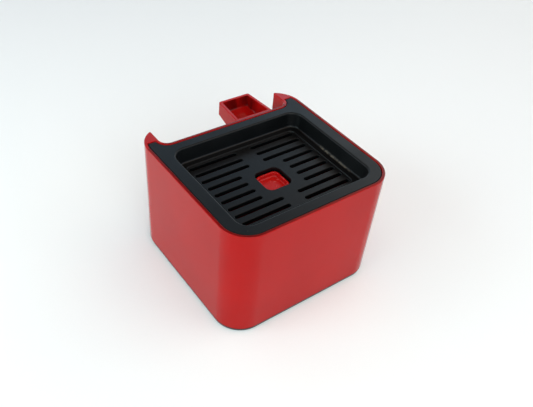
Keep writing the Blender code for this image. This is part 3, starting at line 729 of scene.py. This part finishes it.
def satin_black():
    """Spark-eroded satin plastic, with a line of dried crud along the foot of the basin's right wall."""
    material, tree, shader = new_material("satin_black_plastic")
    split = node(tree, "ShaderNodeSeparateXYZ", Vector=place(tree)).outputs
    cloud = span(tree, noise(tree, place(tree), 30.0, 4.0), 0.3, 0.7)
    colour = mixed(tree, cloud, BLACK_DEEP, BLACK_BRIGHT)

    foot_x = BASIN_HALF_X - BASIN_DRAFT - 0.5 * BASIN_FOOT_FILLET
    wander = math_node(tree, "SUBTRACT", noise(tree, place(tree), 160.0, 3.0), 0.5)
    wander = product(tree, wander, 1.2 * MM)
    off_line = math_node(tree, "ADD", math_node(tree, "SUBTRACT", split[0], foot_x), wander)
    off_line = math_node(tree, "ABSOLUTE", off_line)
    near_line = span(tree, off_line, 0.0001, 0.0009, 1.0, 0.0)
    starts = span(tree, split[1], -40 * MM, -30 * MM)
    ends = span(tree, split[1], -10 * MM, 0, 1.0, 0.0)
    low = span(tree, split[2], LEDGE_LINE_Z + 0.0008, LEDGE_LINE_Z + 0.0022, 1.0, 0.0)
    broken = span(tree, noise(tree, place(tree), 420.0, 4.0, 0.65), 0.36, 0.62)
    crud = product(tree, near_line, starts, ends, low, broken)

    flecks = math_node(tree, "MULTIPLY", specks(tree, 330.0, 0.035), facing_up(tree))
    pale = math_node(tree, "MAXIMUM", product(tree, crud, 0.5), product(tree, flecks, 0.16))
    tree.links.new(mixed(tree, pale, colour, DRIED_CRUD), shader.inputs["Base Color"])

    rubbed = span(tree, noise(tree, place(tree), 38.0, 4.0, 0.6), 0.35, 0.7, 0.33, 0.43)
    hairs = scratches(tree, (700, 60, 300), 2.0, 0.4)
    roughness = math_node(tree, "ADD", rubbed, math_node(tree, "MULTIPLY", pale, 0.5))
    roughness = math_node(tree, "SUBTRACT", roughness, math_node(tree, "MULTIPLY", hairs, 0.06), True)
    tree.links.new(roughness, shader.inputs["Roughness"])
    grain = noise(tree, place(tree), 2600.0, 3.0, 0.6)
    waves = noise(tree, place(tree), 35.0, 1.0)
    normal = bumped(tree, [(waves, 0.0001), (grain, 0.000007), (hairs, -0.000006), (pale, 0.00006)])
    tree.links.new(normal, shader.inputs["Normal"])
    shader.inputs["IOR"].default_value = 1.3
    return material


def dark_plastic():
    material, tree, shader = new_material("dark_grey_plastic")
    cloud = span(tree, noise(tree, place(tree), 35.0, 5.0), 0.3, 0.7)
    colour = mixed(tree, cloud, GREY_DEEP, GREY_BRIGHT)
    hairs = scratches(tree, (300, 50, 50), 2.0, 0.55)
    colour = mixed(tree, product(tree, hairs, 0.35), colour, GREY_SCRATCH)
    tree.links.new(colour, shader.inputs["Base Color"])
    rubbed = span(tree, noise(tree, place(tree), 60.0, 4.0), 0.3, 0.7, 0.46, 0.62)
    tree.links.new(rubbed, shader.inputs["Roughness"])
    grain = noise(tree, place(tree), 2200.0, 3.0, 0.6)
    tree.links.new(bumped(tree, [(grain, 0.000015), (hairs, -0.00001)]), shader.inputs["Normal"])
    return material


def rubber():
    material, tree, shader = new_material("black_rubber")
    cloud = span(tree, noise(tree, place(tree), 120.0, 5.0, 0.6), 0.35, 0.7)
    colour = mixed(tree, cloud, RUBBER_DEEP, RUBBER_BRIGHT)
    lint = specks(tree, 700.0, 0.12)
    tree.links.new(mixed(tree, product(tree, lint, 0.35), colour, LINT), shader.inputs["Base Color"])
    tree.links.new(span(tree, cloud, 0.0, 1.0, 0.68, 0.88), shader.inputs["Roughness"])
    tree.links.new(bumped(tree, [(noise(tree, place(tree), 1500.0, 4.0), 0.00003)]), shader.inputs["Normal"])
    return material


def steel():
    material, tree, shader = new_material("plated_steel")
    cloud = span(tree, noise(tree, place(tree), 300.0, 4.0), 0.3, 0.75)
    tree.links.new(mixed(tree, cloud, STEEL_BRIGHT, STEEL_DULL), shader.inputs["Base Color"])
    shader.inputs["Metallic"].default_value = 1.0
    tree.links.new(span(tree, cloud, 0.0, 1.0, 0.22, 0.42), shader.inputs["Roughness"])
    tree.links.new(bumped(tree, [(noise(tree, place(tree), 1800.0, 3.0), 0.00001)]), shader.inputs["Normal"])
    return material


# Pieces


def post_places():
    return [(x, y) for y in (FRONT_Y + SCREW_EDGE_Y, REAR_WALL_Y - SCREW_EDGE_Y) for x in (-SCREW_X, SCREW_X)]


def foot_places():
    return [(x, y) for y in (FRONT_Y + FOOT_EDGE_Y, REAR_WALL_Y - FOOT_EDGE_Y) for x in (-FOOT_X, FOOT_X)]


def make_shell(material):
    outside = foot_profile(SHELL_FOOT_Z, FOOT_ROUND) + head_profile(RIM_Z, RIM_ROUND)
    pocket = [(LEDGE_Z, WALL)] + [(z, WALL + inset) for z, inset in flared(RIM_Z, RIM_INNER_ROUND)]
    cavity = [(z, WALL + inset) for z, inset in foot_profile(FLOOR_TOP_Z, FLOOR_FILLET)]
    cavity += [
        (LEDGE_Z - LEDGE_DEPTH - LEDGE_WIDTH, WALL),
        (LEDGE_Z - LEDGE_DEPTH, WALL + LEDGE_WIDTH),
        (LEDGE_Z + OVERCUT, WALL + LEDGE_WIDTH),
    ]
    skirt = [(-OVERCUT, WALL + GAP), (SKIRT_TOP_Z, WALL + GAP)]
    cores = []
    for side in (-1, 1):
        core = [(side * x, y) for x, y in ear_core_outline(EAR_CORE_INSET)]
        heights = (SKIRT_TOP_Z - OVERCUT, LEDGE_Z - LEDGE_DEPTH)
        cores.append(loft([[(x, y, z) for x, y in drafted(core, z)] for z in heights]))
    window = box(
        TROUGH_X - NECK_HALF_X - GAP,
        TROUGH_X + NECK_HALF_X + GAP,
        REAR_WALL_Y - WALL - OVERCUT,
        REAR_WALL_Y + OVERCUT,
        NECK_UNDER_Z - GAP,
        NECK_TOP_Z + GAP,
    )
    post = [(SKIRT_TOP_Z + MM, POST_RADIUS)]
    post += [(z, POST_RADIUS - inset) for z, inset in head_profile(POST_TOP_Z, POST_ROUND)]
    posts = joined([ring_profile(x, y, post) for x, y in post_places()])
    pilot_radius = SCREW_SHANK_RADIUS + GAP
    pilot_top_z = POST_TOP_Z - PILOT_CAP
    pilots = joined([cylinder(x, y, pilot_radius, -OVERCUT, pilot_top_z) for x, y in post_places()])
    return piece(
        "tray_shell",
        "shell",
        material,
        drafted_stack(outside, shell_outline),
        ("DIFFERENCE", stack(pocket, grid_outline)),
        ("DIFFERENCE", drafted_stack(cavity, cavity_outline)),
        ("DIFFERENCE", drafted_stack(skirt, shell_outline)),
        ("DIFFERENCE", joined(cores)),
        ("DIFFERENCE", window),
        ("UNION", posts),
        ("DIFFERENCE", pilots),
    )


def make_cup_grid(material):
    margin = foot_profile(GRID_TOP_Z - MARGIN_THICKNESS, SLOT_ROUND, 2)
    margin += head_profile(GRID_TOP_Z, MARGIN_ROUND)
    margin = [(z, WALL + GRID_GAP + inset) for z, inset in margin]
    tub = foot_profile(PANEL_Z - GRID_FLOOR, TUB_ROUND)
    tub = [(z, BASIN_DRAFT - BASIN_SKIN + inset) for z, inset in tub] + [(GRID_TOP_Z - MM, -BASIN_SKIN)]
    basin = [(z, BASIN_DRAFT + inset) for z, inset in foot_profile(LEDGE_LINE_Z, BASIN_FOOT_FILLET, 7)]
    basin += [(z, BASIN_LIP / 2 + inset) for z, inset in flared(GRID_TOP_Z, BASIN_LIP, 7)]
    panel = foot_profile(PANEL_Z, PANEL_ROUND, 3) + flared(LEDGE_LINE_Z, PANEL_ROUND, 3)
    through = funnelled(PANEL_Z - GRID_FLOOR, SLOT_ROUND / 2, 2) + flared(PANEL_Z, SLOT_ROUND, 4)
    slots = []
    for row in range(SLOT_ROWS):
        y = FIRST_ROW_Y - row * SLOT_PITCH
        inner = SLOT_SHORT_INNER_X if row in SHORT_ROWS else SLOT_INNER_X
        for left, right in ((-SLOT_OUTER_X, -inner), (inner, SLOT_OUTER_X)):
            slots.append(stack(through, lambda inset: slot_outline(left, right, y, inset)))
    slots.append(stack(through, lambda inset: square_outline(HOLE_HALF, HOLE_RADIUS, inset)))
    return piece(
        "cup_rest_grid",
        "cup_grid",
        material,
        stack(margin, grid_outline),
        ("UNION", stack(tub, basin_outline)),
        ("DIFFERENCE", stack(basin, basin_outline)),
        ("DIFFERENCE", stack(panel, panel_outline)),
        ("DIFFERENCE", joined(slots)),
    )


def make_float_cage(material):
    side = CAGE_HALF + CAGE_WALL
    corner = HOLE_RADIUS + CAGE_WALL
    outside = foot_profile(CAGE_LOW_Z, CAGE_ROUND, 3) + head_profile(CAGE_HIGH_Z, CAGE_ROUND, 3)
    sleeve = [(CAGE_LOW_Z + CAGE_LIP_HEIGHT, 0), (CAGE_HIGH_Z + OVERCUT, 0)]
    throat = [(CAGE_LOW_Z - OVERCUT, 0), (CAGE_HIGH_Z, 0)]
    reach = side + OVERCUT
    half = CAGE_WINDOW / 2
    window_z = (CAGE_LOW_Z + CAGE_LIP_HEIGHT + CAGE_SILL, CAGE_HIGH_Z - CAGE_HEAD)
    return piece(
        "float_guide",
        "float_cage",
        material,
        stack(outside, lambda inset: square_outline(side, corner, inset)),
        ("DIFFERENCE", stack(sleeve, lambda inset: square_outline(CAGE_HALF, HOLE_RADIUS))),
        ("DIFFERENCE", stack(throat, lambda inset: square_outline(CAGE_HALF - CAGE_LIP, HOLE_RADIUS / 2))),
        ("DIFFERENCE", box(-reach, reach, HOLE_Y - half, HOLE_Y + half, *window_z)),
        ("DIFFERENCE", box(-half, half, HOLE_Y - reach, HOLE_Y + reach, *window_z)),
    )


def make_level_float(material):
    flange = foot_profile(FLOAT_LOW_Z, FLANGE_ROUND, 2)
    flange += head_profile(FLOAT_LOW_Z + FLOAT_FLANGE_HEIGHT, FLANGE_ROUND, 2)
    body = [(FLOAT_LOW_Z + 0.5 * MM, 0)] + head_profile(FLOAT_TOP_Z, FLOAT_ROUND)
    dish = foot_profile(FLOAT_TOP_Z - FLOAT_RECESS, DISH_FILLET) + flared(FLOAT_TOP_Z, DISH_ROUND)
    dish_half = FLOAT_HALF - FLOAT_RIM
    dish_radius = FLOAT_RADIUS - FLOAT_RIM / 2
    return piece(
        "level_float_cap",
        "level_float",
        material,
        stack(flange, lambda inset: square_outline(FLOAT_HALF + FLOAT_FLANGE, HOLE_RADIUS, inset)),
        ("UNION", stack(body, lambda inset: square_outline(FLOAT_HALF, FLOAT_RADIUS, inset))),
        ("DIFFERENCE", stack(dish, lambda inset: square_outline(dish_half, dish_radius, inset))),
    )


def make_rear_trough(material):
    def ring(inset, front_y, corner, height):
        return [(x, y, height(y)) for x, y in trough_outline(inset, front_y, corner)]

    def on_underside(lift):
        return lambda y: trough_under_z(y) + lift

    def level(z):
        return lambda y: z

    outside = [
        ring(inset, TROUGH_FRONT_Y, TROUGH_CORNER, on_underside(lift))
        for lift, inset in foot_profile(0, TROUGH_UNDER_ROUND)
    ]
    outside += [
        ring(inset, TROUGH_FRONT_Y, TROUGH_CORNER, level(z))
        for z, inset in head_profile(TROUGH_TOP_Z, TROUGH_RIM_ROUND)
    ]
    neck = box(
        TROUGH_X - NECK_HALF_X,
        TROUGH_X + NECK_HALF_X,
        NECK_INNER_Y,
        TROUGH_FRONT_Y + MM,
        NECK_UNDER_Z,
        NECK_TOP_Z,
    )
    inner_y = TROUGH_FRONT_Y + TROUGH_FRONT_WALL
    channel = [
        ring(TROUGH_WALL + inset, inner_y + inset, CHANNEL_CORNER, on_underside(TROUGH_WALL + lift))
        for lift, inset in foot_profile(0, CHANNEL_FILLET)
    ]
    channel += [
        ring(TROUGH_WALL + inset, inner_y + inset, CHANNEL_CORNER, level(z))
        for z, inset in flared(TROUGH_TOP_Z, TROUGH_RIM_ROUND)
    ]
    throat = box(
        TROUGH_X - NECK_HALF_X + NECK_WALL,
        TROUGH_X + NECK_HALF_X - NECK_WALL,
        NECK_INNER_Y - OVERCUT,
        inner_y + MM,
        NECK_UNDER_Z + NECK_WALL,
        NECK_TOP_Z - NECK_WALL,
    )
    return piece(
        "drain_trough",
        "rear_trough",
        material,
        loft(outside),
        ("UNION", neck),
        ("DIFFERENCE", loft(channel)),
        ("DIFFERENCE", throat),
    )


def make_trough_seal(material):
    front_y = REAR_WALL_Y + GAP
    half = NECK_HALF_X + GAP
    low_z, high_z = NECK_UNDER_Z - GAP, NECK_TOP_Z + GAP
    edge = SEAL_ROUND
    left, right = TROUGH_X - half - SEAL_WIDTH, TROUGH_X + half + SEAL_WIDTH
    low, high = low_z - SEAL_WIDTH / 2, high_z + SEAL_WIDTH

    def frame_ring(y, inset):
        outline = rounded_rectangle(left + inset, right - inset, low + inset, high - inset, SEAL_CORNER, 4)
        return [(x, y, z) for x, z in outline]

    rings = [frame_ring(front_y, edge), frame_ring(front_y + edge, 0)]
    rings += [frame_ring(front_y + SEAL_THICKNESS - edge, 0), frame_ring(front_y + SEAL_THICKNESS, edge)]
    hole = box(TROUGH_X - half, TROUGH_X + half, front_y - OVERCUT, front_y + OVERCUT, low_z, high_z)
    return piece("neck_seal", "trough_seal", material, loft(rings), ("DIFFERENCE", hole))


def make_base_plate(material):
    def at_foot(inset):
        return drafted(shell_outline(inset), SHELL_FOOT_Z)

    flange = foot_profile(PLATE_UNDER_Z, PLATE_ROUND, 3) + [(PLATE_FLANGE_Z, 0)]
    flange = [(z, PLATE_INSET + inset) for z, inset in flange]
    plug = [(PLATE_UNDER_Z + GAP, WALL + 2 * GAP)]
    plug += [(z, WALL + 2 * GAP + inset) for z, inset in head_profile(PLATE_TOP_Z, PLATE_ROUND, 3)]
    foot_wells, head_wells, holes = [], [], []
    for x, y in foot_places():
        profile = [(z, FOOT_RADIUS + GAP - inset) for z, inset in funnelled(PLATE_UNDER_Z, PLATE_ROUND, 3)]
        foot_wells.append(ring_profile(x, y, profile + [(FOOT_HEIGHT + GAP, FOOT_RADIUS + GAP)]))
    for x, y in post_places():
        mouth = funnelled(PLATE_UNDER_Z, PLATE_ROUND, 3)
        profile = [(z, SCREW_HEAD_RADIUS + GAP - inset) for z, inset in mouth]
        head_top_z = PLATE_UNDER_Z + SCREW_RECESS_Z + SCREW_HEAD_HEIGHT + GAP
        head_wells.append(ring_profile(x, y, profile + [(head_top_z, SCREW_HEAD_RADIUS + GAP)]))
        holes.append(cylinder(x, y, SCREW_SHANK_RADIUS + GAP, 0, PLATE_TOP_Z + OVERCUT))
    return piece(
        "underside_plate",
        "base_plate",
        material,
        stack(flange, at_foot),
        ("UNION", stack(plug, at_foot)),
        ("DIFFERENCE", joined(foot_wells)),
        ("DIFFERENCE", joined(head_wells)),
        ("DIFFERENCE", joined(holes)),
    )


def make_feet(material):
    for number, (x, y) in enumerate(foot_places(), start=1):
        profile = [(z, FOOT_RADIUS - inset) for z, inset in foot_profile(0, FOOT_LOWER_ROUND)]
        profile += [(z, FOOT_RADIUS - inset) for z, inset in head_profile(FOOT_HEIGHT, FOOT_UPPER_ROUND, 2)]
        dimple = [(-OVERCUT, FOOT_RADIUS / 2), (FOOT_DIMPLE, FOOT_RADIUS / 2)]
        foot = piece(
            f"rubber_foot_{number}",
            f"foot_{number}",
            material,
            ring_profile(x, y, profile),
            ("DIFFERENCE", ring_profile(x, y, dimple)),
        )


def make_screws(material):
    """Pan head screws with a cross recess, heads down in the base plate."""
    head_z = PLATE_UNDER_Z + SCREW_RECESS_Z
    round_off = 0.7 * MM
    long_side = 1.6 * MM
    short_side = 0.4 * MM
    thread_pitch = 1.1 * MM
    thread_depth = 0.25 * MM
    for number, (x, y) in enumerate(post_places(), start=1):
        profile = [(z, SCREW_HEAD_RADIUS - inset) for z, inset in foot_profile(head_z, round_off)]
        profile += [(head_z + SCREW_HEAD_HEIGHT, SCREW_HEAD_RADIUS)]
        z = head_z + SCREW_HEAD_HEIGHT + 0.2 * MM
        profile.append((z, SCREW_SHANK_RADIUS - thread_depth))
        while z + thread_pitch < head_z + SCREW_LENGTH - MM:
            profile += [
                (z + 0.4 * thread_pitch, SCREW_SHANK_RADIUS - thread_depth),
                (z + 0.7 * thread_pitch, SCREW_SHANK_RADIUS),
                (z + thread_pitch, SCREW_SHANK_RADIUS - thread_depth),
            ]
            z += thread_pitch
        profile.append((head_z + SCREW_LENGTH, SCREW_SHANK_RADIUS / 2))
        cross = [
            box(x - half_x, x + half_x, y - half_y, y + half_y, head_z - OVERCUT, head_z + MM)
            for half_x, half_y in ((long_side, short_side), (short_side, long_side))
        ]
        screw = piece(
            f"plate_screw_{number}",
            f"screw_{number}",
            material,
            ring_profile(x, y, profile, 32),
            *[("DIFFERENCE", arm) for arm in cross],
        )


# Camera, floor and light


def direction_to(azimuth, elevation):
    """The unit vector from the object to a viewpoint; azimuth 0 is in front of it."""
    return Vector((
        math.sin(azimuth) * math.cos(elevation),
        -math.cos(azimuth) * math.cos(elevation),
        math.sin(elevation),
    ))


def make_camera():
    back = direction_to(CAMERA_AZIMUTH, CAMERA_ELEVATION)
    data = bpy.data.cameras.new("camera")
    data.sensor_width = 36.0
    data.lens = CAMERA_LENS
    data.clip_start = 0.01
    camera = bpy.data.objects.new("camera", data)
    bpy.context.scene.collection.objects.link(camera)
    turn = Matrix.Rotation(CAMERA_AZIMUTH, 4, "Z") @ Matrix.Rotation(math.pi / 2 - CAMERA_ELEVATION, 4, "X")
    turn = turn @ Matrix.Rotation(CAMERA_ROLL, 4, "Z")
    camera.matrix_world = Matrix.Translation(CAMERA_AIM + back * CAMERA_DISTANCE) @ turn
    bpy.context.scene.camera = camera


def make_floor():
    half = 4.0
    builder = bmesh.new()
    bmesh.ops.create_grid(builder, x_segments=1, y_segments=1, size=half)
    floor = mesh_object("floor", builder)
    material, tree, shader = new_material("pale_paper")
    fibre = noise(tree, place(tree), 900.0, 4.0, 0.6)
    tree.links.new(mixed(tree, fibre, PAPER_DEEP, PAPER_BRIGHT), shader.inputs["Base Color"])
    shader.inputs["Roughness"].default_value = 0.8
    shader.inputs["Specular IOR Level"].default_value = 0.2
    tree.links.new(bumped(tree, [(fibre, 0.00002)]), shader.inputs["Normal"])
    floor.data.materials.append(material)


def area_light(name, azimuth, elevation, power, colour):
    """A square soft light, aimed at the object; azimuth 0 stands in front of it."""
    data = bpy.data.lights.new(name, "AREA")
    data.shape = "SQUARE"
    data.size = LIGHT_SIZE
    data.energy = power
    data.color = colour
    light = bpy.data.objects.new(name, data)
    bpy.context.scene.collection.objects.link(light)
    back = direction_to(math.radians(azimuth), math.radians(elevation))
    light.location = LIGHT_AIM + back * LIGHT_DISTANCE
    light.rotation_euler = back.to_track_quat("Z", "Y").to_euler()


def make_world():
    """A dim room: bright at the horizon, with a cool band from 24 to 33 degrees up and a faint ceiling."""
    world = bpy.data.worlds.new("studio")
    bpy.context.scene.world = world
    world.use_nodes = True
    tree = world.node_tree
    background = tree.nodes["Background"]
    direction = node(tree, "ShaderNodeTexCoord").outputs["Generated"]
    height = node(tree, "ShaderNodeSeparateXYZ", Vector=direction).outputs[2]
    ramp = node(tree, "ShaderNodeValToRGB", Fac=height)
    stops = ramp.color_ramp.elements
    stops.remove(stops[1])
    for index, (elevation, colour) in enumerate(ROOM_BANDS):
        position = math.sin(math.radians(elevation))
        stop = stops.new(position) if index else stops[0]
        stop.position = position
        stop.color = (*colour, 1)
    tree.links.new(ramp.outputs[0], background.inputs["Color"])
    background.inputs["Strength"].default_value = ROOM_STRENGTH


def main():
    make_camera()
    make_floor()
    make_world()
    for light in LIGHTS:
        area_light(*light)
    bpy.context.scene.view_settings.view_transform = "Standard"
    red = gloss_red()
    black = satin_black()
    soft = rubber()
    make_shell(red)
    make_cup_grid(black)
    make_float_cage(black)
    make_level_float(float_red())
    make_rear_trough(red)
    make_trough_seal(soft)
    make_base_plate(dark_plastic())
    make_feet(soft)
    make_screws(steel())


main()
